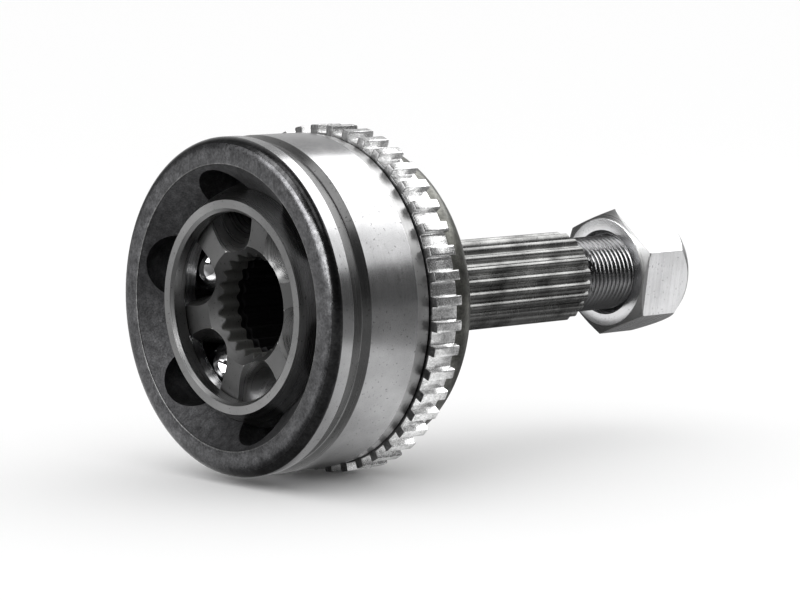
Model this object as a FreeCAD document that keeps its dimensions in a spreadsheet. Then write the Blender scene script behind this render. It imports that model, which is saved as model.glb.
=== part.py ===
"""Fixed constant-velocity joint: bell with splined stub, toothed ring, cage, inner race, six balls, axle nut.

Millimetres. The joint lies along X: the open mouth faces -X and the threaded stub points to +X.
The origin is the centre of articulation, and +Z is up. Run as a macro in an empty folder.
"""
import FreeCAD
import Part
import Sketcher
import math
import os

V = FreeCAD.Vector

doc = FreeCAD.newDocument("cv_joint")

# sizes
SIZES = [
    # balls and their tracks, on which the other pieces are built up
    ("turn", -13.8),
    ("ball_count", 6),
    ("ball_radius", 7.94),
    ("pitch_radius", 28.4),
    ("track_offset", 4.0),
    ("track_play", 0.16),
    ("outer_track_lean", -5.0),
    ("outer_track_sweep", 110.0),
    ("inner_track_lean", 0.0),
    ("inner_track_sweep", 130.0),
    # bell, from the mouth to the threaded end
    ("mouth_depth", 19.25),
    ("bell_wall", 13.4),
    ("lip_width", 6.65),
    ("lip_round", 3.0),
    ("front_band", 6.5),
    ("clamp_width", 5.15),
    ("clamp_step", 2.6),
    ("clamp_floor", 1.3),
    ("clamp_ledge", 0.7),
    ("band_length", 14.3),
    ("taper_length", 3.7),
    ("taper_drop", 0.6),
    ("band_chamfer", 0.6),
    ("gap_width", 0.8),
    ("collar_height", 0.9),
    ("seat_length", 11.2),
    ("back_round", 7.0),
    ("cone_length", 6.0),
    ("hub_radius", 22.5),
    ("shank_rise", 0.6),
    ("shank_round", 2.0),
    ("shank_length", 8.0),
    ("spline_lead", 1.0),
    ("spline_length", 50.7),
    ("spline_depth", 1.25),
    ("spline_teeth", 21),
    ("spline_root_gap", 0.27),
    ("spline_top_gap", 0.62),
    ("root_rise", 0.65),
    ("thread_step", 1.7),
    ("thread_length", 31.0),
    ("thread_radius", 9.9),
    ("thread_chamfer", 1.2),
    ("funnel_depth", 6.95),
    ("cavity_depth", 27.0),
    # cage
    ("cage_rise", 3.1),
    ("cage_play", 0.08),
    ("cage_width", 34.4),
    ("cage_fall", 4.9),
    ("cage_chamfer", 0.8),
    ("window_play", 0.14),
    ("window_slack", 1.36),
    ("window_round", 3.0),
    # inner race
    ("race_fall", 1.52),
    ("race_play", 0.1),
    ("race_width", 25.0),
    ("race_bore", 12.0),
    ("race_depth", 1.05),
    ("race_lead", 2.8),
    ("race_teeth", 22),
    ("race_root_gap", 0.18),
    ("race_tip_gap", 0.78),
    ("clip_depth", 7.8),
    ("clip_width", 1.8),
    ("clip_height", 1.6),
    # toothed ring
    ("ring_width", 8.1),
    ("ring_rise", 1.8),
    ("ring_wall", 2.5),
    ("tooth_height", 1.95),
    ("ring_teeth", 44),
    ("ring_gap", 0.6),
    ("ring_turn", 0.5),
    # axle nut
    ("nut_sides", 6),
    ("nut_height", 18.0),
    ("nut_cover", 1.5),
    ("nut_play", 0.1),
    ("nut_lead", 1.4),
    ("nut_flat", 15.0),
    ("nut_corner_rise", 2.5),
    ("nut_face_fall", 0.6),
    ("nut_chamfer", 1.6),
    ("nut_dome", 4.6),
    ("nut_turn", 9.0),
]
VALUES = dict(SIZES)

sheet = doc.addObject("Spreadsheet::Sheet", "Params")
for row, (alias, number) in enumerate(SIZES, start=1):
    sheet.set("A%d" % row, alias)
    sheet.set("B%d" % row, repr(number))
    sheet.setAlias("B%d" % row, alias)
doc.recompute()


def number_of(text):
    """Value of a sum of products and quotients written with spaces, such as '- race_bore + 2 * pi'."""
    total = 0.0
    sign = 1.0
    product = None
    divide = False
    for token in text.split():
        if token in ("+", "-"):
            if product is not None:
                total += sign * product
            product = None
            sign = 1.0 if token == "+" else -1.0
        elif token in ("*", "/"):
            divide = token == "/"
        else:
            factor = VALUES[token] if token in VALUES else math.pi if token == "pi" else float(token)
            if product is None:
                product = factor
            else:
                product = product / factor if divide else product * factor
    return total + sign * product


def linked(text):
    """The same sum as an expression on the sheet."""
    words = []
    for token in text.split():
        words.append("Params." + token if token in VALUES else token)
    return " ".join(words)


def minus(text):
    """The negative of a sum that starts without a sign."""
    return "- " + text.replace(" + ", " ~ ").replace(" - ", " + ").replace(" ~ ", " - ")


def times(text, factor):
    """The sum with each of its terms multiplied."""
    end = " * " + factor
    return text.replace(" + ", end + " + ").replace(" - ", end + " - ") + end


def new_body(label):
    body = doc.addObject("PartDesign::Body", label)
    body.Label = label
    return body


def origin_part(body, role):
    for feature in body.Origin.OriginFeatures:
        if feature.Role == role:
            return feature
    raise ValueError(role)


def new_sketch(body, name, plane):
    sketch = body.newObject("Sketcher::SketchObject", name)
    sketch.AttachmentSupport = (origin_part(body, plane), [""])
    sketch.MapMode = "FlatFace"
    return sketch


def fix(sketch, kind, geo, pos, text):
    """Tie one coordinate of a point to the sheet, or put the point on the axis for a zero."""
    if text == "0":
        axis = -2 if kind == "DistanceX" else -1
        sketch.addConstraint(Sketcher.Constraint("PointOnObject", geo, pos, axis))
        return
    rule = Sketcher.Constraint(kind, -1, 1, geo, pos, number_of(text))
    index = sketch.addConstraint(rule)
    sketch.setExpression("Constraints[%d]" % index, linked(text))


def outline(sketch, points, arcs=None):
    """Closed outline. A point is (x, y) in sheet words; 'arc+' or 'arc-' leaves a coordinate to its arc.

    arcs maps a side number to (centre x, centre y, radius, turns left).
    """
    arcs = arcs or {}
    count = len(points)
    owner = {}
    for side in arcs:
        owner[side] = side
        owner[(side + 1) % count] = side
    spots = []
    for i, (x, y) in enumerate(points):
        if x.startswith("arc") or y.startswith("arc"):
            cx, cy, radius = [number_of(word) for word in arcs[owner[i]][:3]]
            if x.startswith("arc"):
                known = number_of(y)
                reach = math.sqrt(radius ** 2 - (known - cy) ** 2)
                spots.append(V(cx + (reach if x == "arc+" else -reach), known, 0))
            else:
                known = number_of(x)
                reach = math.sqrt(radius ** 2 - (known - cx) ** 2)
                spots.append(V(known, cy + (reach if y == "arc+" else -reach), 0))
        else:
            spots.append(V(number_of(x), number_of(y), 0))
    ends = []
    for i in range(count):
        a = spots[i]
        b = spots[(i + 1) % count]
        if i not in arcs:
            geo = sketch.addGeometry(Part.LineSegment(a, b), False)
            ends.append((geo, 1, 2))
            continue
        cx, cy, radius, left = arcs[i]
        centre = V(number_of(cx), number_of(cy), 0)
        first, last = (a, b) if left else (b, a)
        start = math.atan2(first.y - centre.y, first.x - centre.x)
        stop = math.atan2(last.y - centre.y, last.x - centre.x)
        circle = Part.Circle(centre, V(0, 0, 1), number_of(radius))
        geo = sketch.addGeometry(Part.ArcOfCircle(circle, start, stop), False)
        ends.append((geo, 1, 2) if left else (geo, 2, 1))
    for i in range(count):
        geo, _, tail = ends[i]
        following, head, _ = ends[(i + 1) % count]
        sketch.addConstraint(Sketcher.Constraint("Coincident", geo, tail, following, head))
    for i, (cx, cy, radius, _) in arcs.items():
        geo = ends[i][0]
        fix(sketch, "DistanceX", geo, 3, cx)
        fix(sketch, "DistanceY", geo, 3, cy)
        index = sketch.addConstraint(Sketcher.Constraint("Radius", geo, number_of(radius)))
        sketch.setExpression("Constraints[%d]" % index, linked(radius))
    for i, (x, y) in enumerate(points):
        geo, head, _ = ends[i]
        if not x.startswith("arc"):
            fix(sketch, "DistanceX", geo, head, x)
        if not y.startswith("arc"):
            fix(sketch, "DistanceY", geo, head, y)


def turned(body, kind, name, sketch):
    """Revolution or Groove of a sketch about its own horizontal axis."""
    feature = body.newObject("PartDesign::" + kind, name)
    feature.Profile = sketch
    feature.ReferenceAxis = (sketch, ["H_Axis"])
    feature.Angle = 360.0
    sketch.Visibility = False
    return feature


def around(body, name, feature, count):
    """Repeat one feature evenly round the X axis."""
    pattern = body.newObject("PartDesign::PolarPattern", name)
    pattern.Originals = [feature]
    pattern.Axis = (origin_part(body, "X_Axis"), [""])
    pattern.Angle = 360.0
    pattern.Occurrences = int(VALUES[count])
    pattern.setExpression("Occurrences", "Params." + count)
    body.Tip = pattern
    return pattern


def turn_body(body, text):
    body.Placement = FreeCAD.Placement(V(0, 0, 0), FreeCAD.Rotation(V(1, 0, 0), number_of(text)))
    body.setExpression("Placement.Rotation.Angle", linked(text))


def cut_tracks(body, side, lean, sweep):
    """Ball tracks: a tube swept round a centre on the X axis, side -1 towards the mouth."""
    sketch = new_sketch(body, "TrackSection", "YZ_Plane")
    turn = FreeCAD.Rotation(V(1, 0, 0), VALUES[lean])
    sketch.AttachmentOffset = FreeCAD.Placement(V(0, 0, side * VALUES["track_offset"]), turn)
    sketch.setExpression("AttachmentOffset.Base.z", "%d * Params.track_offset" % side)
    swing = math.hypot(VALUES["pitch_radius"], VALUES["track_offset"])
    tube = VALUES["ball_radius"] + VALUES["track_play"]
    sketch.addGeometry(Part.Circle(V(0, swing, 0), V(0, 0, 1), tube), False)
    sketch.addConstraint(Sketcher.Constraint("PointOnObject", 0, 3, -2))
    index = sketch.addConstraint(Sketcher.Constraint("DistanceY", -1, 1, 0, 3, swing))
    sketch.setExpression("Constraints[%d]" % index,
                         "sqrt(Params.pitch_radius ^ 2 + Params.track_offset ^ 2)")
    index = sketch.addConstraint(Sketcher.Constraint("Radius", 0, tube))
    sketch.setExpression("Constraints[%d]" % index, linked("ball_radius + track_play"))
    groove = turned(body, "Groove", "Track", sketch)
    groove.Angle = VALUES[sweep]
    groove.setExpression("Angle", linked(sweep))
    groove.Midplane = True
    return around(body, "Tracks", groove, "ball_count")


def wedge(body, name, inner, outer, inner_share, outer_share, teeth):
    """Tooth space on the YZ plane round the +Z line; its widths are shares of the pitch at each radius."""
    sketch = new_sketch(body, name, "YZ_Plane")
    lower = times(inner, "pi / %s * %s" % (teeth, inner_share))
    upper = times(outer, "pi / %s * %s" % (teeth, outer_share))
    outline(sketch, [
        (minus(lower), inner),
        (lower, inner),
        (upper, outer),
        (minus(upper), outer),
    ])
    return sketch


def pocket(body, name, sketch, length=None, both=False, flip=False):
    feature = body.newObject("PartDesign::Pocket", name)
    feature.Profile = sketch
    if length is None:
        feature.Type = "ThroughAll"
    else:
        feature.Length = number_of(length)
        feature.setExpression("Length", linked(length))
    feature.Midplane = both
    feature.Reversed = flip
    sketch.Visibility = False
    return feature


# stations along the axis
MOUTH = "- mouth_depth"
CLAMP_FRONT = MOUTH + " + front_band"
CLAMP_BACK = CLAMP_FRONT + " + clamp_width"
BAND_BACK = CLAMP_BACK + " + band_length"
TAPER_BACK = BAND_BACK + " + taper_length"
SEAT_FRONT = TAPER_BACK + " + band_chamfer + gap_width"
SEAT_BACK = SEAT_FRONT + " + seat_length"
HUB_FACE = SEAT_BACK + " + back_round + cone_length"
SPLINE_FRONT = HUB_FACE + " + shank_length"
SPLINE_BACK = SPLINE_FRONT + " + spline_length"
THREAD_BACK = SPLINE_BACK + " + thread_step + thread_length"
NUT_BACK = THREAD_BACK + " + nut_cover"
NUT_FRONT = NUT_BACK + " - nut_height"

# radii, each built on the sizes above
BAND_R = "pitch_radius + bell_wall"
MOUTH_R = BAND_R + " - lip_width"
RING_R = BAND_R + " + ring_rise"
VALLEY_R = RING_R + " - tooth_height"
SEAT_R = VALLEY_R + " - ring_wall"
ROOT_R = "thread_radius + root_rise"
SPLINE_R = ROOT_R + " + spline_depth"
SHANK_R = SPLINE_R + " + shank_rise"
CAGE_R = "pitch_radius + cage_rise"
CAGE_BORE = "pitch_radius - cage_fall"
CAVITY_R = CAGE_R + " + cage_play"
RACE_R = "pitch_radius - race_fall"
RACE_ROOT = "race_bore + race_depth"
RACE_MOUTH = "race_bore + race_lead"
NUT_BORE = "thread_radius + nut_play"
NUT_MOUTH = NUT_BORE + " + nut_lead"
NUT_CORNER = "nut_flat + nut_corner_rise"
NUT_FACE = "nut_flat - nut_face_fall"


# outer race: bell and stub in one forging
def make_outer_race():
    body = new_body("outer_race")
    turn_body(body, "turn")
    sketch = new_sketch(body, "BellOutline", "XZ_Plane")
    outline(sketch, [
        (MOUTH, "0"),
        ("arc-", BAND_R + " - lip_round"),
        (MOUTH + " + lip_round", "arc+"),
        (CLAMP_FRONT, BAND_R),
        (CLAMP_FRONT, BAND_R + " - clamp_floor"),
        (CLAMP_FRONT + " + clamp_step", BAND_R + " - clamp_floor"),
        (CLAMP_FRONT + " + clamp_step", BAND_R + " - clamp_ledge"),
        (CLAMP_BACK, BAND_R + " - clamp_ledge"),
        (CLAMP_BACK, BAND_R),
        (BAND_BACK, BAND_R),
        (TAPER_BACK, BAND_R + " - taper_drop"),
        (TAPER_BACK + " + band_chamfer", BAND_R + " - taper_drop - band_chamfer"),
        (TAPER_BACK + " + band_chamfer", SEAT_R + " + collar_height"),
        (SEAT_FRONT, SEAT_R + " + collar_height"),
        (SEAT_FRONT, SEAT_R),
        (SEAT_BACK, "arc+"),
        ("arc+", SEAT_R + " - back_round"),
        (HUB_FACE, "hub_radius"),
        ("arc-", SHANK_R + " + shank_round"),
        (HUB_FACE + " + shank_round", "arc-"),
        (SPLINE_FRONT + " - spline_lead", SHANK_R),
        (SPLINE_FRONT, SPLINE_R),
        (SPLINE_BACK, SPLINE_R),
        (SPLINE_BACK + " + thread_step", "thread_radius"),
        (THREAD_BACK + " - thread_chamfer", "thread_radius"),
        (THREAD_BACK, "thread_radius - thread_chamfer"),
        (THREAD_BACK, "0"),
    ], {
        1: (MOUTH + " + lip_round", BAND_R + " - lip_round", "lip_round", False),
        15: (SEAT_BACK, SEAT_R + " - back_round", "back_round", False),
        18: (HUB_FACE + " + shank_round", SHANK_R + " + shank_round", "shank_round", True),
    })
    turned(body, "Revolution", "Bell", sketch)
    cavity = new_sketch(body, "CavityOutline", "XZ_Plane")
    outline(cavity, [
        (MOUTH + " - 1", "0"),
        (MOUTH + " - 1", MOUTH_R),
        (MOUTH, MOUTH_R),
        (MOUTH + " + funnel_depth", "arc+"),
        ("cavity_depth", "arc+"),
        ("cavity_depth", "0"),
    ], {3: ("0", "0", CAVITY_R, False)})
    turned(body, "Groove", "Cavity", cavity)
    cut_tracks(body, -1, "outer_track_lean", "outer_track_sweep")
    teeth = wedge(body, "SplineSpace", ROOT_R, SPLINE_R + " + spline_lead",
                  "spline_root_gap", "spline_top_gap", "spline_teeth")
    teeth.AttachmentOffset = FreeCAD.Placement(V(0, 0, number_of(SPLINE_FRONT)), FreeCAD.Rotation())
    teeth.setExpression("AttachmentOffset.Base.z", linked(SPLINE_FRONT))
    space = pocket(body, "Spline", teeth, "spline_length + thread_step", flip=True)
    around(body, "Splines", space, "spline_teeth")
    return body


# toothed sensor ring pressed on the bell
def make_abs_ring():
    body = new_body("abs_ring")
    turn_body(body, "ring_turn - 90")
    sketch = new_sketch(body, "RingOutline", "XZ_Plane")
    outline(sketch, [
        (SEAT_FRONT, SEAT_R),
        (SEAT_FRONT, RING_R),
        (SEAT_FRONT + " + ring_width", RING_R),
        (SEAT_FRONT + " + ring_width", SEAT_R),
    ])
    turned(body, "Revolution", "Hoop", sketch)
    gap = wedge(body, "ToothSpace", VALLEY_R, RING_R + " + ring_rise",
                "ring_gap", "ring_gap", "ring_teeth")
    around(body, "Teeth", pocket(body, "ToothGap", gap, both=True), "ring_teeth")
    return body


# cage
def make_cage():
    body = new_body("cage")
    turn_body(body, "turn")
    sketch = new_sketch(body, "CageOutline", "XZ_Plane")
    outline(sketch, [
        ("- cage_width / 2", "arc+"),
        ("cage_width / 2", "arc+"),
        ("cage_width / 2", CAGE_BORE + " + cage_chamfer"),
        ("cage_width / 2 - cage_chamfer", CAGE_BORE),
        ("arc+", CAGE_BORE),
        ("arc-", CAGE_BORE),
        ("- cage_width / 2 + cage_chamfer", CAGE_BORE),
        ("- cage_width / 2", CAGE_BORE + " + cage_chamfer"),
    ], {
        0: ("0", "0", CAGE_R, False),
        4: ("0", "0", RACE_R + " + race_play", True),
    })
    turned(body, "Revolution", "Shell", sketch)
    window = new_sketch(body, "WindowOutline", "XY_Plane")
    side = "ball_radius + window_play"
    inset = side + " - window_round"
    end = "ball_radius + window_slack - window_round"
    less_side = minus(side)
    less_inset = less_side + " + window_round"
    less_end = minus(end)
    outline(window, [
        (less_inset, "arc-"),
        (inset, "arc-"),
        ("arc+", less_end),
        ("arc+", end),
        (inset, "arc+"),
        (less_inset, "arc+"),
        ("arc-", end),
        ("arc-", less_end),
    ], {
        1: (inset, less_end, "window_round", True),
        3: (inset, end, "window_round", True),
        5: (less_inset, end, "window_round", True),
        7: (less_inset, less_end, "window_round", True),
    })
    opening = pocket(body, "Window", window, CAVITY_R, flip=True)
    around(body, "Windows", opening, "ball_count")
    return body


# inner race
def make_inner_race():
    body = new_body("inner_race")
    turn_body(body, "turn")
    sketch = new_sketch(body, "RaceOutline", "XZ_Plane")
    outline(sketch, [
        ("- race_width / 2", RACE_MOUTH),
        ("- race_width / 2", "arc+"),
        ("race_width / 2", "arc+"),
        ("race_width / 2", RACE_MOUTH),
        ("race_width / 2 - race_lead", "race_bore"),
        ("- race_width / 2 + race_lead", "race_bore"),
    ], {1: ("0", "0", RACE_R, False)})
    turned(body, "Revolution", "Race", sketch)
    cut_tracks(body, 1, "inner_track_lean", "inner_track_sweep")
    clip = new_sketch(body, "ClipOutline", "XZ_Plane")
    front = "- race_width / 2 + clip_depth"
    outline(clip, [
        (front, "race_bore - race_depth"),
        (front, "race_bore + clip_height"),
        (front + " + clip_width", "race_bore + clip_height"),
        (front + " + clip_width", "race_bore - race_depth"),
    ])
    turned(body, "Groove", "ClipGroove", clip)
    teeth = wedge(body, "SplineSpace", "race_bore - race_play", RACE_ROOT,
                  "race_tip_gap", "race_root_gap", "race_teeth")
    around(body, "Splines", pocket(body, "Spline", teeth, both=True), "race_teeth")
    return body


# axle nut
def make_axle_nut():
    body = new_body("axle_nut")
    turn_body(body, "nut_turn - 30")
    sketch = new_sketch(body, "NutOutline", "XZ_Plane")
    outline(sketch, [
        (NUT_FRONT, NUT_MOUTH),
        (NUT_FRONT, NUT_FACE),
        (NUT_FRONT + " + nut_chamfer", NUT_CORNER),
        (NUT_BACK + " - nut_dome", NUT_CORNER),
        (NUT_BACK, NUT_FACE),
        (NUT_BACK, NUT_MOUTH),
        (NUT_BACK + " - nut_lead", NUT_BORE),
        (NUT_FRONT + " + nut_lead", NUT_BORE),
    ])
    turned(body, "Revolution", "Barrel", sketch)
    flat = new_sketch(body, "FlatOutline", "YZ_Plane")
    outline(flat, [
        (minus(NUT_CORNER), "nut_flat"),
        (NUT_CORNER, "nut_flat"),
        (NUT_CORNER, NUT_CORNER + " + nut_play"),
        (minus(NUT_CORNER), NUT_CORNER + " + nut_play"),
    ])
    around(body, "Flats", pocket(body, "Flat", flat, both=True), "nut_sides")
    return body


# balls
def make_ball(index):
    ball = doc.addObject("Part::Sphere", "ball_%d" % index)
    ball.Label = "ball_%d" % index
    ball.Radius = VALUES["ball_radius"]
    ball.setExpression("Radius", "Params.ball_radius")
    angle = "90 + Params.turn + %d * 360 / Params.ball_count" % (index - 1)
    ball.setExpression("Placement.Base.y", "Params.pitch_radius * cos(%s)" % angle)
    ball.setExpression("Placement.Base.z", "Params.pitch_radius * sin(%s)" % angle)
    return ball


pieces = [make_outer_race(), make_abs_ring(), make_cage(), make_inner_race()]
for ball_index in range(1, VALUES["ball_count"] + 1):
    pieces.append(make_ball(ball_index))
pieces.append(make_axle_nut())
doc.recompute()

# checks and export
for item in doc.Objects:
    if "Invalid" in item.State or "Error" in item.State:
        raise RuntimeError("%s is %s" % (item.Name, item.State))
os.makedirs("parts", exist_ok=True)
for piece in pieces:
    shape = piece.Shape
    if shape.isNull() or not shape.isValid() or len(shape.Solids) != 1:
        raise RuntimeError("%s has a bad shape" % piece.Label)
    box = shape.BoundBox
    FreeCAD.Console.PrintMessage("%s volume %.1f x %.2f..%.2f\n" % (
        piece.Label, shape.Volume, box.XMin, box.XMax))
    shape.exportStep("parts/%s.step" % piece.Label)
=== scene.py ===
"""Looks of the constant-velocity joint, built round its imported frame.

Sizes are millimetres in the frame's own axes: X along the joint with the mouth at -X, +Z up. An angle round
the joint starts at +Y and grows towards +Z.
"""
import bpy
import math
from mathutils import Matrix, Vector


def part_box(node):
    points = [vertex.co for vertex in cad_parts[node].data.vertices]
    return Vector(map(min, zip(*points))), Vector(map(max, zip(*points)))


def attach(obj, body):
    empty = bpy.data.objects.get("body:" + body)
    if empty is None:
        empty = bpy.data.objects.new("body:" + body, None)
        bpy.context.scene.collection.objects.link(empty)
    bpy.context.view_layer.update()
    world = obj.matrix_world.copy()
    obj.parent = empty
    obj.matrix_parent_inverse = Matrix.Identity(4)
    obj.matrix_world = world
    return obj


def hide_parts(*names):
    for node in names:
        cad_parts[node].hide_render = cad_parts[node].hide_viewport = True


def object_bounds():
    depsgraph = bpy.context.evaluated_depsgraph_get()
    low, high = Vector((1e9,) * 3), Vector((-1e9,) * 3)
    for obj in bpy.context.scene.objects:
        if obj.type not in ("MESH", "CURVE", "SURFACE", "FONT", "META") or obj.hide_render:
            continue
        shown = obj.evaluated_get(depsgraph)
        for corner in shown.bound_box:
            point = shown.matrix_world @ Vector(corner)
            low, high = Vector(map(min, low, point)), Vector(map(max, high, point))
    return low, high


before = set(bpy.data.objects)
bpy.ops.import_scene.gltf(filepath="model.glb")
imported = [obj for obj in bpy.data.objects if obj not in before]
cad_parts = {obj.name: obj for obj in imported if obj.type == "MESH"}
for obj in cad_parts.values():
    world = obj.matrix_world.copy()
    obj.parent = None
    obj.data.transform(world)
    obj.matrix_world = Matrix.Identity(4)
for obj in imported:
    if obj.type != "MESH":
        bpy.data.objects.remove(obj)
cad_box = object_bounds()

MM = 0.001
TAU = 2 * math.pi

# Outside of the bell, from the mouth back
# Groove, taper, chamfer and shoulder differ a little from the solids
MOUTH = -19.25
MOUTH_R = 35.15
LIP_ROUND = 3.0
LIP_EDGE = 0.3
LIP_EDGE_X = 0.08
LIP_EDGE_R = 0.07
LIP_STEPS = 9
FACE_STEPS = 3
BAND_R = 41.8
BAND_FRONT = -16.6
SKIN_STEP = 0.03
CLAMP_FRONT = -13.1
CLAMP_FLOOR = 3.5
CLAMP_DEPTH = 1.2
CLAMP_BACK = -7.6
BAND_BACK = 7.1
TAPER_BACK = 11.1
TAPER_DROP = 0.6
CHAMFER = 0.25
COLLAR_R = 40.05
SEAT_R = 39.15
SEAT_FRONT = 11.8
SEAT_BACK = 23.5
BACK_ROUND = 7.0
BACK_STEPS = 12
HUB_FACE = 36.0
HUB_R = 22.5
HUB_EDGE = 0.5
HUB_FILLET = 2.0
SHANK_R = 12.4
BANDS_AROUND = 360
BACK_AROUND = 240

# Inside of the bell
FUNNEL_BACK = -12.3
FUNNEL_STEP = 0.22
CAVITY_R = 31.58
CAVITY_STEP = math.radians(1.6)
CAVITY_FLOOR = 27.0
FLOOR_RINGS = (0.05, 8.0, 15.8)
TRACK_END = 23.5
TRACK_RUN_OUT = 4.0

# Ball tracks: bent tubes, centred before the joint's middle in the bell and behind it in the inner race
TRACKS = 6
FIRST_BALL = math.radians(76.2)
PITCH_R = 28.4
OFFSET = 4.0
TUBE_R = 8.1
SWING = math.hypot(PITCH_R, OFFSET)
TRACK_POINTS = 26
LAND_POINTS = 14
WIDEST_HALF = math.radians(29)
DEEPEST = 14
WALL_HEIGHT = 5
WALL_STEP = 0.25

# Stub: spline and thread
SPLINE_FRONT = 44.0
SPLINE_BACK = 94.7
SPLINE_R = 11.8
SPLINE_ROOT = 10.55
SPLINE_ROOT_SHARE = 0.22
SPLINE_TEETH = 21
SPLINE_POINTS = 20
SPLINE_LEAD = 1.0
SPLINE_LEAD_DROP = 0.8
SPLINE_STEP = 2.5
CONE_STEP = 0.15
THREAD_FRONT = 96.4
THREAD_BACK = 127.4
THREAD_R = 9.9
THREAD_ROOT = 9.05
THREAD_PITCH = 1.5
THREAD_RUN_IN = 2.5
THREAD_RUN_IN_LIFT = 0.3
THREAD_CHAMFER = 1.2
THREAD_OVERLAP = 0.3
THREAD_STEP = THREAD_PITCH / 12
THREAD_AROUND = 120
END_CENTRE = 0.02

# Inner race
RACE_R = 26.88
RACE_HALF = 12.5
RACE_BORE = 12.0
RACE_ROOT = 13.05
RACE_MOUTH = 14.8
RACE_TEETH = 22
RACE_POINTS = 16
RACE_CREST_SHARE = 0.16
RACE_ROOT_SHARE = 0.12
RACE_STEP = 0.5
RACE_RUN_OUT = 2.5
RACE_RUN_OUT_HALF = math.radians(25)
BORE_FRONT_DEPTH = 3.2
BORE_FRONT_STEP = 0.12
BORE_BACK_DEPTH = 3.0
BORE_BACK_STEP = 0.3
CLIP_FRONT = -4.7
CLIP_BACK = -2.9
CLIP_R = 13.6
CLIP_WALL = 0.05

# Toothed ring
RING_BACK = 19.9
RING_R = 43.6
RING_VALLEY = 41.65
RING_TEETH = 44
RING_GAP = 0.6
RING_TURN = math.radians(0.5)

# Nut
NUT_FRONT = 110.9
NUT_BACK = 128.9
NUT_FLAT = 15.0
NUT_CORNER = 17.5
NUT_FACE = 14.4
NUT_CHAMFER = 1.6
NUT_DOME = 4.6
NUT_BORE = 10.0
NUT_MOUTH = 11.4
NUT_TURN = math.radians(9.0)
FLAT_POINTS = 16
CORNER_POINTS = 8

# Balls
BALL_POLE = 0.012
BALL_STEP = math.pi / 60
BALL_AROUND = 96

# Meshes: what the weld joins, in metres, and the angle from which an edge stays sharp
WELD = 2e-6
SHARP = math.radians(32)

# Lamps and floor, in metres
LAMPS_AIM = Vector((0.02, 0, 0))
FLOOR_HALF = 9.0
FLOOR_GAP = 0.0002


# Meshes in rows round the X axis
def skin(name, rows, body, material):
    """Mesh of rows, each a list of (x, radius, angle) of one length, joined row to row and closed round."""
    count = len(rows[0])
    verts = []
    for row in rows:
        for x, r, a in row:
            verts.append((x * MM, r * math.cos(a) * MM, r * math.sin(a) * MM))
    faces = []
    for i in range(len(rows) - 1):
        for j in range(count):
            k = (j + 1) % count
            faces.append((i * count + j, i * count + k, (i + 1) * count + k, (i + 1) * count + j))
    mesh = bpy.data.meshes.new(name)
    mesh.from_pydata(verts, [], faces)
    mesh.validate()
    piece = bpy.data.objects.new(name, mesh)
    bpy.context.collection.objects.link(piece)
    weld = piece.modifiers.new("weld", "WELD")
    weld.merge_threshold = WELD
    mesh.materials.append(material)
    for polygon in mesh.polygons:
        polygon.use_smooth = True
    mesh.set_sharp_from_angle(angle=SHARP)
    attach(piece, body)
    return piece


def second_slot(piece, material, test):
    """One more material, for faces that pass a test of x, radius and how far the normal leans to +X."""
    piece.data.materials.append(material)
    index = len(piece.data.materials) - 1
    for polygon in piece.data.polygons:
        middle = polygon.center / MM
        if test(middle.x, math.hypot(middle.y, middle.z), polygon.normal.x):
            polygon.material_index = index


def eased(points, radius, steps=3):
    """Outline with each inner corner rounded; a third value on a point is its own radius."""
    out = [points[0][:2]]
    for before, here, after in zip(points, points[1:], points[2:]):
        own = here[2] if len(here) > 2 else radius
        corner = Vector(here[:2])
        back = Vector(before[:2]) - corner
        ahead = Vector(after[:2]) - corner
        reach = min(own, back.length * 0.45, ahead.length * 0.45)
        start = corner + back.normalized() * reach
        stop = corner + ahead.normalized() * reach
        for step in range(steps + 1):
            t = step / steps
            point = start * (1 - t) ** 2 + corner * 2 * t * (1 - t) + stop * t ** 2
            out.append((point.x, point.y))
    out.append(points[-1][:2])
    return out


def plain_rows(points, count):
    return [[(x, r, TAU * j / count) for j in range(count)] for x, r in points]


def spaced(a, b, step):
    count = max(1, round(abs(b - a) / step))
    return [a + (b - a) * i / count for i in range(count + 1)]


# Ball tracks
def tube_gap(x, r, side, centre):
    """Distance of a point from a track's tube: below zero inside it."""
    along = math.hypot(x - centre, r * math.cos(side))
    return math.hypot(along - SWING, r * math.sin(side)) - TUBE_R


def solve(f, low, high):
    """Root between low, where f is below zero, and high, where it is above, by 40 halvings."""
    for _ in range(40):
        middle = (low + high) / 2
        if f(middle) < 0:
            low = middle
        else:
            high = middle
    return (low + high) / 2


def track_half(x, r, centre):
    """Half the angle that a track takes up at this radius."""
    return solve(lambda a: tube_gap(x, r, a, centre), 0.0, WIDEST_HALF)


def track_row(x, base, centre, outward, depth=1.0):
    """One row of a race: the tracks cut into a surface of radius base, with points on each track's edge.

    In the inner race a track's walls stand straight above its widest place. A low depth makes it shallower.
    """
    half = 0.0
    start = base
    if tube_gap(x, base, 0.0, centre) < 0:
        levels = [base] if outward else spaced(base, base - WALL_HEIGHT, WALL_STEP)
        half, start = max((track_half(x, r, centre), r) for r in levels)
    way = 1 if outward else -1
    near = way * start
    row = []
    for k in range(TRACKS):
        middle = FIRST_BALL + k * TAU / TRACKS
        for i in range(TRACK_POINTS):
            side = half * math.sin(math.pi / 2 * (2 * i / TRACK_POINTS - 1))
            r = base
            if half and i:
                r = way * solve(lambda q: tube_gap(x, way * q, side, centre), near, near + DEEPEST)
            row.append((x, base + (r - base) * depth, middle + side))
        for i in range(LAND_POINTS):
            side = half + (TAU / TRACKS - 2 * half) * i / LAND_POINTS
            row.append((x, base, middle + side))
    return row


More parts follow.
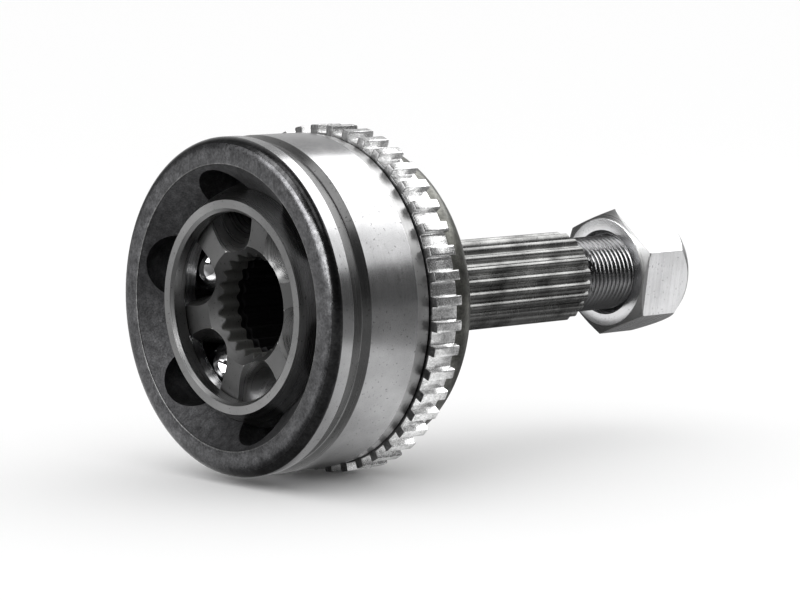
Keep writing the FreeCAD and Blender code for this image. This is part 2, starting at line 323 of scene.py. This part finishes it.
# Node materials
def new_material(name, color, rough, metallic=1.0):
    material = bpy.data.materials.new(name)
    material.use_nodes = True
    tree = material.node_tree
    shader = tree.nodes["Principled BSDF"]
    shader.inputs["Base Color"].default_value = (*color, 1)
    shader.inputs["Roughness"].default_value = rough
    shader.inputs["Metallic"].default_value = metallic
    return material, tree, shader


def node(tree, kind, **settings):
    made = tree.nodes.new(kind)
    for key, value in settings.items():
        setattr(made, key, value)
    return made


def place(tree, scale=(1, 1, 1)):
    """Object coordinates, in millimetres, stretched."""
    coords = node(tree, "ShaderNodeTexCoord")
    mapping = node(tree, "ShaderNodeMapping")
    mapping.inputs["Scale"].default_value = tuple(s / MM for s in scale)
    tree.links.new(coords.outputs["Object"], mapping.inputs["Vector"])
    return mapping.outputs["Vector"]


def noise(tree, vector, scale, detail=3.0, roughness=0.55):
    made = node(tree, "ShaderNodeTexNoise")
    made.inputs["Scale"].default_value = scale
    made.inputs["Detail"].default_value = detail
    made.inputs["Roughness"].default_value = roughness
    tree.links.new(vector, made.inputs["Vector"])
    return made.outputs["Fac"]


def ramp(tree, fac, stops):
    """Tones along fac: stops are pairs of a place, rising, and a grey or a colour."""
    made = node(tree, "ShaderNodeValToRGB")
    elements = made.color_ramp.elements
    for i, (at, tone) in enumerate([stops[0], stops[-1]] + stops[1:-1]):
        element = elements[i] if i < 2 else elements.new(at)
        element.position = at
        rgb = tone if isinstance(tone, tuple) else (tone, tone, tone)
        element.color = (*rgb, 1)
    tree.links.new(fac, made.inputs["Fac"])
    return made.outputs["Color"]


def bump(tree, height, strength, distance, before=None):
    made = node(tree, "ShaderNodeBump")
    made.inputs["Strength"].default_value = strength
    made.inputs["Distance"].default_value = distance * MM
    tree.links.new(height, made.inputs["Height"])
    if before is not None:
        tree.links.new(before, made.inputs["Normal"])
    return made.outputs["Normal"]


def mix(tree, fac, a, b, mode="MIX"):
    """Mix of two colours, which are inputs 6 and 7 of the node; fac, a and b are values or sockets."""
    made = node(tree, "ShaderNodeMix", data_type="RGBA", blend_type=mode)
    for socket, value in ((made.inputs[0], fac), (made.inputs[6], a), (made.inputs[7], b)):
        if isinstance(value, (int, float, tuple)):
            socket.default_value = value
        else:
            tree.links.new(value, socket)
    return made.outputs[2]


def multiply(tree, a, b):
    return mix(tree, 1.0, a, b, "MULTIPLY")


def machined_steel(name, color, rough, pitch, relief, spots=0.1):
    """Steel with fine lines round the axis, pitch apart, as a lathe leaves them, and dull spots."""
    material, tree, shader = new_material(name, color, rough)
    lines = noise(tree, place(tree, (1 / pitch, 0.02, 0.02)), 1.0, 2.0, 0.6)
    cloud = noise(tree, place(tree), 0.12, 4.0)
    specks = noise(tree, place(tree), 1.5, 2.0)
    dark = tuple(c * (1 - spots * 2) for c in color)
    tint = ramp(tree, cloud, [(0.3, dark), (0.65, color)])
    dots = ramp(tree, specks, [(0.3, 0.5), (0.34, 1.0)])
    tree.links.new(multiply(tree, tint, dots), shader.inputs["Base Color"])
    shade = ramp(tree, lines, [(0.3, rough * 0.8), (0.7, rough * 1.25)])
    tree.links.new(shade, shader.inputs["Roughness"])
    normal = bump(tree, lines, relief, 0.02)
    tree.links.new(bump(tree, specks, 0.05, 0.02, normal), shader.inputs["Normal"])
    shader.inputs["Anisotropic"].default_value = 0.5
    tangent = node(tree, "ShaderNodeTangent", direction_type="RADIAL", axis="X")
    tree.links.new(tangent.outputs[0], shader.inputs["Tangent"])
    return material


def forged_steel(name, color, rough, grain=0.9, relief=0.12):
    """Steel with the lumps and mottled tone of a forged or sintered skin; a larger grain is finer."""
    material, tree, shader = new_material(name, color, rough)
    lumps = noise(tree, place(tree), 0.35 * grain, 6.0, 0.6)
    fine = noise(tree, place(tree), 2.5 * grain, 3.0)
    mottle = noise(tree, place(tree), 1.6 * grain, 4.0, 0.7)
    dark = tuple(c * 0.55 for c in color)
    light = tuple(min(1.0, c * 1.6) for c in color)
    tint = ramp(tree, lumps, [(0.25, dark), (0.5, color), (0.75, light)])
    speckle = ramp(tree, mottle, [(0.3, 0.55), (0.7, 1.45)])
    tree.links.new(multiply(tree, tint, speckle), shader.inputs["Base Color"])
    shade = ramp(tree, fine, [(0.2, rough * 0.75), (0.8, min(1.0, rough * 1.3))])
    tree.links.new(shade, shader.inputs["Roughness"])
    normal = bump(tree, lumps, 0.35, relief)
    tree.links.new(bump(tree, fine, 0.3, relief * 0.3, normal), shader.inputs["Normal"])
    return material


LIP = forged_steel("forged_lip", (0.085, 0.085, 0.088), 0.3)
# painted highlight: a lighter tone on the mouth's inner edge stands in for the bright line of light along
# it
EDGE_HIGHLIGHT = forged_steel("mouth_edge_painted_highlight", (0.14, 0.14, 0.14), 0.35)
CORNER = forged_steel("forged_corner", (0.085, 0.085, 0.087), 0.2)
FUNNEL = forged_steel("forged_funnel", (0.055, 0.055, 0.057), 0.5, grain=1.4, relief=0.2)
BAND = machined_steel("turned_band", (0.45, 0.45, 0.455), 0.19, pitch=0.12, relief=0.08)
TAPER = machined_steel("turned_taper", (0.42, 0.42, 0.42), 0.34, pitch=0.12, relief=0.1)
GROOVE = machined_steel("turned_groove", (0.13, 0.13, 0.13), 0.26, pitch=0.25, relief=0.15)
GROOVE_WALL = machined_steel("turned_groove_wall", (0.38, 0.38, 0.38), 0.22, pitch=0.25, relief=0.15)
BACK = forged_steel("forged_back", (0.11, 0.11, 0.1), 0.35)
STUB = machined_steel("rolled_spline", (0.29, 0.29, 0.285), 0.24, pitch=0.5, relief=0.15, spots=0.38)
THREAD = machined_steel("rolled_thread", (0.26, 0.26, 0.265), 0.2, pitch=0.5, relief=0.05)
RACE = machined_steel("ground_race", (0.1, 0.1, 0.1), 0.4, pitch=0.3, relief=0.15)
TRACK = machined_steel("ground_track", (0.4, 0.4, 0.4), 0.3, pitch=0.3, relief=0.05)
BORE = machined_steel("broached_bore", (0.3, 0.3, 0.29), 0.65, pitch=0.3, relief=0.1)
BORE_MOUTH = machined_steel("turned_bore_mouth", (0.095, 0.095, 0.095), 0.4, pitch=0.3, relief=0.1)
# painted shade: the deep part of the bore, behind the circlip groove, gets a near-black copy of the bore's
# steel
BORE_DEEP_SHADE = machined_steel("painted_shade_deep_bore", (0.05, 0.05, 0.052), 0.5, pitch=0.3, relief=0.1)
CAGE = machined_steel("ground_cage", (0.22, 0.22, 0.22), 0.3, pitch=0.2, relief=0.15)
BALL = machined_steel("polished_ball", (0.6, 0.6, 0.61), 0.05, pitch=0.6, relief=0.0, spots=0.0)
RING = forged_steel("sintered_ring", (0.78, 0.78, 0.78), 0.25, grain=2.2)
# painted shade: a darker copy of the ring's material for the end faces of the teeth
RING_FACE_SHADE = forged_steel("sintered_ring_face_painted_shade", (0.17, 0.17, 0.17), 0.35, grain=2.2)
NUT = machined_steel("plated_nut", (0.82, 0.82, 0.83), 0.24, pitch=0.4, relief=0.06)
NUT_CONE = machined_steel("turned_nut_cone", (0.3, 0.3, 0.3), 0.3, pitch=0.2, relief=0.15)


# Outer race: the bell
def bell_lip():
    """Front face and rounded corner, which ends a hair below the turned band."""
    arc = []
    for step in range(LIP_STEPS):
        a = math.radians(90 * step / LIP_STEPS)
        arc.append((MOUTH + LIP_ROUND * (1 - math.cos(a)), BAND_R - LIP_ROUND * (1 - math.sin(a))))
    inner_edge = [(MOUTH + LIP_EDGE, MOUTH_R), (MOUTH + LIP_EDGE_X, MOUTH_R + LIP_EDGE_R),
                  (MOUTH, MOUTH_R + LIP_EDGE)]
    face = inner_edge + arc[:FACE_STEPS + 1]
    corner = arc[FACE_STEPS:] + [(BAND_FRONT, BAND_R - SKIN_STEP)]
    pieces = [skin("bell_lip", plain_rows(face, BANDS_AROUND), "outer_race", LIP),
              skin("bell_corner", plain_rows(corner, BANDS_AROUND), "outer_race", CORNER)]
    # painted highlight: the mouth's inner edge takes the lighter tone
    second_slot(pieces[0], EDGE_HIGHLIGHT, lambda x, r, lean: r < MOUTH_R + LIP_EDGE)
    return pieces


def bell_bands():
    """Turned outside: band, clamp groove with one sloping wall, band, taper and collar."""
    points = [
        (BAND_FRONT, BAND_R - SKIN_STEP),
        (BAND_FRONT + 0.05, BAND_R),
        (BAND_FRONT + 0.3, BAND_R),
        (CLAMP_FRONT - 0.3, BAND_R),
        (CLAMP_FRONT, BAND_R),
        (CLAMP_FRONT + 0.1, BAND_R - CLAMP_DEPTH, 0.5),
        (CLAMP_FRONT + CLAMP_FLOOR, BAND_R - CLAMP_DEPTH, 0.4),
        (CLAMP_BACK, BAND_R, 0.08),
        (CLAMP_BACK + 0.3, BAND_R),
        (BAND_BACK, BAND_R),
        (TAPER_BACK, BAND_R - TAPER_DROP),
        (TAPER_BACK + CHAMFER, BAND_R - TAPER_DROP - CHAMFER),
        (TAPER_BACK + CHAMFER, COLLAR_R),
        (SEAT_FRONT, COLLAR_R),
    ]
    taper_end = TAPER_BACK + 0.2

    def in_groove(x, r, lean):
        return (r < BAND_R - 0.1 and CLAMP_FRONT - 0.2 < x < CLAMP_BACK) or x > taper_end

    def on_slope(x, r, lean):
        return r < BAND_R - 0.02 and lean < -0.2 and x > BAND_FRONT + 1

    rows = plain_rows(eased(points, 0.15), BANDS_AROUND)
    piece = skin("bell_bands", rows, "outer_race", BAND)
    second_slot(piece, GROOVE, in_groove)
    second_slot(piece, GROOVE_WALL, on_slope)
    second_slot(piece, TAPER, lambda x, r, lean: BAND_BACK < x < taper_end)
    return piece


def bell_back():
    """Ring seat, rounded shoulder, cone, hub face and shank, up to where the spline starts."""
    points = [(SEAT_FRONT, SEAT_R)]
    for step in range(BACK_STEPS + 1):
        a = math.radians(90 * step / BACK_STEPS)
        points.append((SEAT_BACK + BACK_ROUND * math.sin(a), SEAT_R - BACK_ROUND * (1 - math.cos(a))))
    hub = [
        points[-1],
        (HUB_FACE, HUB_R, HUB_EDGE),
        (HUB_FACE, SHANK_R + HUB_FILLET),
        (HUB_FACE, SHANK_R, HUB_FILLET),
        (SPLINE_FRONT - SPLINE_LEAD, SHANK_R),
        (SPLINE_FRONT, SPLINE_R),
        (SPLINE_FRONT + SPLINE_LEAD, SPLINE_R - SPLINE_LEAD_DROP),
    ]
    points += eased(hub, 0.3, 6)[1:]
    return skin("bell_back", plain_rows(points, BACK_AROUND), "outer_race", BACK)


def bell_cavity():
    """Inside, from the floor out: ball-shaped wall, in which the tracks fade in, then the conical mouth."""
    rows = [track_row(CAVITY_FLOOR, r, -OFFSET, True, 0.0) for r in FLOOR_RINGS]
    start = math.acos(CAVITY_FLOOR / CAVITY_R)
    stop = math.acos(FUNNEL_BACK / CAVITY_R)
    for a in spaced(start, stop, CAVITY_STEP):
        x = CAVITY_R * math.cos(a)
        depth = min(1.0, max(0.0, (TRACK_END - x) / TRACK_RUN_OUT))
        rows.append(track_row(x, CAVITY_R * math.sin(a), -OFFSET, True, depth))
    funnel_r = math.sqrt(CAVITY_R ** 2 - FUNNEL_BACK ** 2)
    for x in spaced(FUNNEL_BACK, MOUTH + LIP_EDGE, FUNNEL_STEP)[1:]:
        t = (x - FUNNEL_BACK) / (MOUTH + LIP_EDGE - FUNNEL_BACK)
        rows.append(track_row(x, funnel_r + (MOUTH_R - funnel_r) * t, -OFFSET, True))
    return skin("bell_cavity", rows, "outer_race", FUNNEL)


# Outer race: the stub
def spline_radius(share):
    """Radius over one pitch, share 0 to 1: flat root in the middle, and teeth that are round on top."""
    away = abs(share - 0.5) * 2
    if away < SPLINE_ROOT_SHARE:
        return SPLINE_ROOT
    up = math.sin((away - SPLINE_ROOT_SHARE) / (1 - SPLINE_ROOT_SHARE) * math.pi / 2) ** 0.8
    return SPLINE_ROOT + (SPLINE_R - SPLINE_ROOT) * up


def stub_spline():
    count = SPLINE_TEETH * SPLINE_POINTS
    cone = (SPLINE_R - THREAD_ROOT) / (THREAD_FRONT - SPLINE_BACK)
    stations = [SPLINE_FRONT - 0.6] + spaced(SPLINE_FRONT - 0.5, SPLINE_BACK - 1.0, SPLINE_STEP)
    stations += spaced(SPLINE_BACK - 0.9, THREAD_FRONT, CONE_STEP)
    rows = []
    for x in stations:
        limit = SPLINE_R - max(0.0, x - SPLINE_BACK) * cone
        row = []
        for j in range(count):
            r = spline_radius(j % SPLINE_POINTS / SPLINE_POINTS)
            row.append((x, min(r, limit), FIRST_BALL + TAU * (j - SPLINE_POINTS / 2) / count))
        rows.append(row)
    return skin("stub_spline", rows, "outer_race", STUB)


def stub_thread():
    """Helix that deepens over its first turns and is cut off by the end's chamfer."""
    rows = []
    for x in spaced(THREAD_FRONT - THREAD_OVERLAP, THREAD_BACK, THREAD_STEP):
        run_in = min(1.0, max(0.0, (x - THREAD_FRONT) / THREAD_RUN_IN))
        root = THREAD_ROOT + (THREAD_R - THREAD_ROOT) * (1 - run_in) * THREAD_RUN_IN_LIFT
        limit = min(THREAD_R, THREAD_R - (x - THREAD_BACK + THREAD_CHAMFER))
        row = []
        for j in range(THREAD_AROUND):
            phase = (x - THREAD_FRONT) / THREAD_PITCH - j / THREAD_AROUND
            depth = 0.5 + 0.5 * math.cos(TAU * phase)
            r = THREAD_R + (root - THREAD_R) * depth
            row.append((x, min(r, limit), TAU * j / THREAD_AROUND))
        rows.append(row)
    rows.append([(THREAD_BACK, END_CENTRE, TAU * j / THREAD_AROUND) for j in range(THREAD_AROUND)])
    return skin("stub_thread", rows, "outer_race", THREAD)


# Inner race
def front_cone(x):
    """Radius of the chamfer at the front mouth of the bore."""
    return RACE_MOUTH - RACE_HALF - x


def mouth_edge(angle):
    """Where at this angle a track's bottom meets the cone of the bore's mouth; elsewhere the cone's rim."""
    side = (angle - FIRST_BALL + TAU / TRACKS / 2) % (TAU / TRACKS) - TAU / TRACKS / 2
    if abs(side) > RACE_RUN_OUT_HALF or tube_gap(-RACE_HALF, RACE_MOUTH, side, OFFSET) > 0:
        return (-RACE_HALF, RACE_MOUTH, angle)

    def above(x):
        lowest = math.sqrt(max(0.0, (SWING - TUBE_R) ** 2 - (x - OFFSET) ** 2))
        bottom = -solve(lambda q: tube_gap(x, -q, side, OFFSET), -SWING, -lowest)
        return bottom - front_cone(x)

    x = solve(above, -RACE_HALF, -RACE_HALF + RACE_RUN_OUT)
    return (x, front_cone(x), angle)


def race_body():
    """Faces and ball-shaped outside with the tracks; in front the tracks run out into the bore's cone."""
    border = track_row(-RACE_HALF, math.sqrt(RACE_R ** 2 - RACE_HALF ** 2), OFFSET, False)
    run_out = [mouth_edge(a) if r < RACE_MOUTH else None for x, r, a in border]
    rows = []
    for t in (0.0, 0.3, 0.65, 1.0):
        rows.append([edge or (x, RACE_MOUTH + (r - RACE_MOUTH) * t, a)
                     for (x, r, a), edge in zip(border, run_out)])
    for x in spaced(-RACE_HALF, RACE_HALF, RACE_STEP)[1:]:
        row = track_row(x, math.sqrt(RACE_R ** 2 - x ** 2), OFFSET, False)
        rows.append([edge if edge and r < front_cone(x) else (x, r, a)
                     for (x, r, a), edge in zip(row, run_out)])
    border = rows[-1]
    for t in (0.6, 0.0):
        rows.append([(x, RACE_MOUTH + (r - RACE_MOUTH) * t, a) for x, r, a in border])
    race = skin("race_body", rows, "inner_race", RACE)

    def in_track(x, r, lean):
        return abs(x) < RACE_HALF - 0.05 and r < math.sqrt(RACE_R ** 2 - x ** 2) - 0.15

    second_slot(race, TRACK, in_track)
    return race


def bore_radius(share):
    """Radius over one pitch of the bore, share 0 to 1: crest in the middle, flanks slightly rounded."""
    away = abs(share - 0.5) * 2
    if away < RACE_CREST_SHARE:
        return RACE_BORE
    if away > 1 - RACE_ROOT_SHARE:
        return RACE_ROOT
    t = (away - RACE_CREST_SHARE) / (1 - RACE_ROOT_SHARE - RACE_CREST_SHARE)
    t = t * t * (3 - 2 * t) * 0.5 + t * 0.5
    return RACE_BORE + (RACE_ROOT - RACE_BORE) * t


def race_bore():
    """Toothed bore with a cone at each mouth and the circlip groove."""
    count = RACE_TEETH * RACE_POINTS
    stations = spaced(-RACE_HALF, -RACE_HALF + BORE_FRONT_DEPTH, BORE_FRONT_STEP)
    stations += [CLIP_FRONT - CLIP_WALL, CLIP_FRONT, CLIP_BACK, CLIP_BACK + CLIP_WALL]
    stations += spaced(RACE_HALF - BORE_BACK_DEPTH, RACE_HALF, BORE_BACK_STEP)
    edges = [mouth_edge(FIRST_BALL + TAU * (j - RACE_POINTS / 2) / count) for j in range(count)]
    rows = []
    for x in reversed(stations):
        row = []
        for j, edge in enumerate(edges):
            r = max(bore_radius(j % RACE_POINTS / RACE_POINTS), front_cone(-abs(x)))
            if CLIP_FRONT <= x <= CLIP_BACK:
                r = CLIP_R
            row.append(edge if x < edge[0] else (x, r, edge[2]))
        rows.append(row)
    bore = skin("race_bore", rows, "inner_race", BORE)
    second_slot(bore, BORE_MOUTH, lambda x, r, lean: abs(lean) > 0.5)
    # painted shade: the bore behind the circlip groove is painted darker, where the hole lies in shade
    second_slot(bore, BORE_DEEP_SHADE, lambda x, r, lean: x > CLIP_FRONT - 0.1 and r < RACE_MOUTH - 0.5)
    return bore


# Toothed ring
def abs_ring():
    """Ring with softened edges: pairs of a share of one pitch and a height, 0 in a gap and 1 on a tooth."""
    pitch = TAU / RING_TEETH
    edge = (1 - RING_GAP) / 2
    fall = [(edge - 0.03, 1.0), (edge - 0.012, 0.97), (edge - 0.002, 0.88), (edge + 0.002, 0.12),
            (edge + 0.014, 0.03), (edge + 0.035, 0.0)]
    steps = [(0.0, 1.0), (edge / 2, 1.0)] + fall + [(0.35, 0.0), (0.5, 0.0), (0.65, 0.0)]
    steps += [(1 - share, height) for share, height in reversed(fall)] + [(1 - edge / 2, 1.0)]
    profile = []
    for tooth in range(RING_TEETH):
        for share, height in steps:
            profile.append((RING_TURN + (tooth + share - 0.5) * pitch, height))
    softened = [(0.0, 0.35), (0.1, 0.12), (0.35, 0.0)]
    sections = [(SEAT_FRONT + inset, drop) for inset, drop in softened]
    sections += [(RING_BACK - inset, drop) for inset, drop in reversed(softened)]
    rise = RING_R - RING_VALLEY
    rows = [[(SEAT_FRONT, SEAT_R, a) for a, height in profile]]
    for x, drop in sections:
        rows.append([(x, RING_VALLEY + rise * height - drop, a) for a, height in profile])
    rows.append([(RING_BACK, SEAT_R, a) for a, height in profile])
    ring = skin("toothed_ring", rows, "outer_race", RING)
    # painted shade: the end faces of the teeth are darker than the crests and gaps
    second_slot(ring, RING_FACE_SHADE, lambda x, r, lean: abs(lean) > 0.8)
    return ring


# Nut
def nut_row(x, limit):
    """One row of the hexagon, cut back to a radius of limit where the chamfer or the dome does so."""
    half = math.radians(30)
    corner = NUT_FLAT / math.cos(half)
    if limit < corner:
        half = math.acos(min(1.0, NUT_FLAT / limit))
    row = []
    for k in range(6):
        middle = NUT_TURN + k * TAU / 6
        for i in range(FLAT_POINTS):
            side = half * (2 * i / FLAT_POINTS - 1)
            row.append((x, min(NUT_FLAT / math.cos(side), limit), middle + side))
        for i in range(CORNER_POINTS):
            side = half + (TAU / 6 - 2 * half) * i / CORNER_POINTS
            row.append((x, min(corner, limit), middle + side))
    return row


def axle_nut():
    """Hexagon with a cone in front, a long dome behind and a cone at each mouth of the bore."""
    mouth = NUT_MOUTH - NUT_BORE
    rise = NUT_CORNER - NUT_FACE
    dome = NUT_BACK - NUT_DOME
    stations = [(NUT_FRONT + mouth, NUT_BORE), (NUT_FRONT, NUT_MOUTH), (NUT_FRONT, NUT_FACE - 0.1)]
    for x in spaced(0.05, NUT_CHAMFER, 0.1):
        stations.append((NUT_FRONT + x, NUT_FACE + rise * x / NUT_CHAMFER))
    stations += [(x, NUT_CORNER) for x in spaced(NUT_FRONT + NUT_CHAMFER + 0.5, dome, 3.0)]
    for x in spaced(0.1, NUT_DOME, 0.15):
        stations.append((dome + x, NUT_CORNER - rise * x / NUT_DOME))
    stations += [(NUT_BACK, NUT_FACE - 0.1), (NUT_BACK, NUT_MOUTH), (NUT_BACK - mouth, NUT_BORE)]
    stations.append(stations[0])
    rows = [nut_row(x, limit) for x, limit in stations]
    nut = skin("nut_body", rows, "axle_nut", NUT)
    second_slot(nut, NUT_CONE, lambda x, r, lean: NUT_FRONT < x < NUT_FRONT + NUT_CHAMFER and r > NUT_FACE)
    return nut


for piece in bell_lip() + [bell_bands(), bell_back(), bell_cavity(), stub_spline(), stub_thread()]:
    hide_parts("outer_race")
for piece in [race_body(), race_bore()]:
    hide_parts("inner_race")
for piece in [abs_ring()]:
    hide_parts("abs_ring")
for piece in [axle_nut()]:
    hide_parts("axle_nut")

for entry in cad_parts["cage"].material_slots:
    entry.material = CAGE


# Balls
def ball(index):
    """Polished ball whose poles point along its track, away from where it touches the races."""
    low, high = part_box("ball_%d" % index)
    centre = (low + high) / 2
    radius = (high - low).x / 2 / MM
    rows = []
    for a in spaced(BALL_POLE, math.pi - BALL_POLE, BALL_STEP):
        rows.append([(-radius * math.cos(a), radius * math.sin(a), TAU * j / BALL_AROUND)
                     for j in range(BALL_AROUND)])
    piece = skin("polished_ball_%d" % index, rows, "ball_%d" % index, BALL)
    for vertex in piece.data.vertices:
        vertex.co += centre
    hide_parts("ball_%d" % index)


for index in range(1, TRACKS + 1):
    ball(index)


# Floor, world, lights and camera, in metres
def axes(tree, coordinates):
    """X and Y of the object's or the world's own coordinates."""
    parts = node(tree, "ShaderNodeSeparateXYZ")
    tree.links.new(node(tree, "ShaderNodeTexCoord").outputs[coordinates], parts.inputs[0])
    return parts.outputs["X"], parts.outputs["Y"]


def spread(tree, value, low, high):
    """The run of a value from low to high, brought to 0 to 1."""
    made = node(tree, "ShaderNodeMapRange")
    made.inputs["From Min"].default_value = low
    made.inputs["From Max"].default_value = high
    tree.links.new(value, made.inputs["Value"])
    return made.outputs[0]


def unless_mirrored(tree, plain, mirrored):
    """One tone for the camera and for soft light, another for what glossy surfaces mirror."""
    path = node(tree, "ShaderNodeLightPath")
    return mix(tree, path.outputs["Is Glossy Ray"], plain, mirrored)


def make_floor():
    """Pale floor, plain to the camera; what the metal mirrors of it is painted: light and dark stretches,
    and a painted glow close to the bell.
    """
    size = FLOOR_HALF
    z = cad_box[0][2] - FLOOR_GAP
    mesh = bpy.data.meshes.new("floor")
    corners = [(-size, -size, z), (size, -size, z), (size, size, z), (-size, size, z)]
    mesh.from_pydata(corners, [], [(0, 1, 2, 3)])
    floor = bpy.data.objects.new("floor", mesh)
    bpy.context.collection.objects.link(floor)
    pale = (0.97, 0.97, 0.97)
    material, tree, shader = new_material("pale_floor", pale, 0.9, 0.0)
    mesh.materials.append(material)

    # painted reflection: only glossy rays see these light and dark stretches of the floor
    x, y = axes(tree, "Object")
    across = spread(tree, y, -0.2, 0.05)
    light = [(0.1, 0.22), (0.37, 0.95), (0.65, 0.9), (0.95, 0.1)]
    dark = [(0.1, 0.22), (0.25, 0.3), (0.65, 0.25), (0.95, 0.1)]
    tone = ramp(tree, across, [(0.14, 0.12), (0.8, 0.15), (1.0, 0.9)])
    for low, high, stops in ((0.0, 0.025, light), (0.055, 0.075, dark), (0.155, 0.175, light)):
        tone = mix(tree, spread(tree, x, low, high), tone, ramp(tree, across, stops))
    tree.links.new(unless_mirrored(tree, (*pale, 1), tone), shader.inputs["Base Color"])

    # painted glow: emission seen only in reflections, near the bell and stub where the floor lies in shade
    right = ramp(tree, spread(tree, x, -0.01, 0.05), [(0.0, 0.0), (0.07, 1.0), (0.6, 1.0), (1.0, 0.0)])
    front = ramp(tree, across, [(0.5, 0.0), (0.62, 1.0), (0.8, 1.0), (1.0, 0.0)])
    rear = ramp(tree, across,
                [(0.5, 0.0), (0.62, 1.0), (0.7, 0.95), (0.73, 0.5), (0.765, 0.05), (1.0, 0.0)])
    right_glow = multiply(tree, right, mix(tree, spread(tree, x, -0.004, 0.004), front, rear))
    left = ramp(tree, spread(tree, x, -0.12, 0.0), [(0.0, 0.0), (0.25, 0.8), (0.85, 0.8), (1.0, 0.0)])
    behind = ramp(tree, spread(tree, y, -0.01, 0.12), [(0.0, 0.0), (0.2, 1.0), (0.75, 1.0), (1.0, 0.0)])
    glow = mix(tree, 1.0, right_glow, multiply(tree, left, behind), "ADD")
    tree.links.new(unless_mirrored(tree, (0, 0, 0, 1), glow), shader.inputs["Emission Color"])
    shader.inputs["Emission Strength"].default_value = 0.4


def make_world():
    """White for the camera and the floor; what the metal mirrors is dark in front and grey behind."""
    world = bpy.data.worlds.new("studio")
    bpy.context.scene.world = world
    world.use_nodes = True
    tree = world.node_tree
    white = (1.08, 1.08, 1.08, 1)
    x, y = axes(tree, "Generated")
    along = ramp(tree, spread(tree, x, -0.9, 0.9), [(0.0, 0.3), (0.5, 0.2), (0.75, 1.0), (1.0, 1.0)])
    across = ramp(tree, spread(tree, y, -0.9, 0.9),
                  [(0.0, 0.1), (0.35, 0.12), (0.5, 0.25), (0.75, 0.5), (1.0, 0.65)])
    seen = unless_mirrored(tree, white, multiply(tree, across, along))
    tree.links.new(seen, tree.nodes["Background"].inputs["Color"])


def softbox(name, direction, distance, size, radiance, along=(0.29, 0.957, 0.0), shift=0.0):
    """Rectangular light of an even radiance, aimed at the bell; the floor doesn't take its light.

    Its first side lies along the given direction, and shift moves the light that way.
    """
    data = bpy.data.lights.new(name, "AREA")
    data.shape = "RECTANGLE"
    data.size, data.size_y = size
    data.energy = radiance * math.pi * size[0] * size[1]
    lamp = bpy.data.objects.new(name, data)
    bpy.context.collection.objects.link(lamp)
    away = Vector(direction).normalized()
    side = (Vector(along) - away * away.dot(Vector(along))).normalized()
    lamp.location = LAMPS_AIM + away * distance + side * shift
    lamp.rotation_euler = Matrix((side, away.cross(side), away)).transposed().to_euler()
    lamp.visible_diffuse = False


def make_camera():
    azimuth = math.radians(-41.36)
    elevation = math.radians(6.34)
    distance = 875.1
    aim_x = 38.09
    aim_up = -2.21
    focal_px = 3431.2
    width_px = 800
    back = Vector((math.sin(azimuth) * math.cos(elevation), -math.cos(azimuth) * math.cos(elevation),
                   math.sin(elevation)))
    right = (-back).cross(Vector((0, 0, 1))).normalized()
    up = right.cross(-back)
    at = Vector((aim_x, 0, 0)) + up * aim_up + back * distance
    data = bpy.data.cameras.new("camera")
    data.sensor_width = 36.0
    data.lens = focal_px * data.sensor_width / width_px
    data.clip_end = 50
    camera = bpy.data.objects.new("camera", data)
    bpy.context.collection.objects.link(camera)
    turn = Matrix((right, up, back)).transposed().to_4x4()
    camera.matrix_world = Matrix.Translation(at * MM) @ turn
    bpy.context.scene.camera = camera


make_floor()
make_world()
bpy.context.scene.view_settings.view_transform = "Standard"
softbox("top_box", (0.66, -0.2, 0.62), 0.85, (0.82, 0.55), 3.0, shift=0.165)
softbox("top_box_end", (0.66, -0.2, 0.62), 0.85, (0.33, 0.55), 1.4, shift=-0.41)
softbox("over_box", (-0.21, -0.242, 0.947), 0.9, (0.83, 0.3), 0.75, along=(0.212, 0.766, 0.243))
softbox("high_left_box", (-0.55, 0.2, 0.8), 0.9, (0.45, 0.4), 2.2)
softbox("left_box", (-0.9, 0.05, 0.33), 0.9, (1.0, 0.45), 8.5, along=(0.056, 0.998, 0.0))
make_camera()
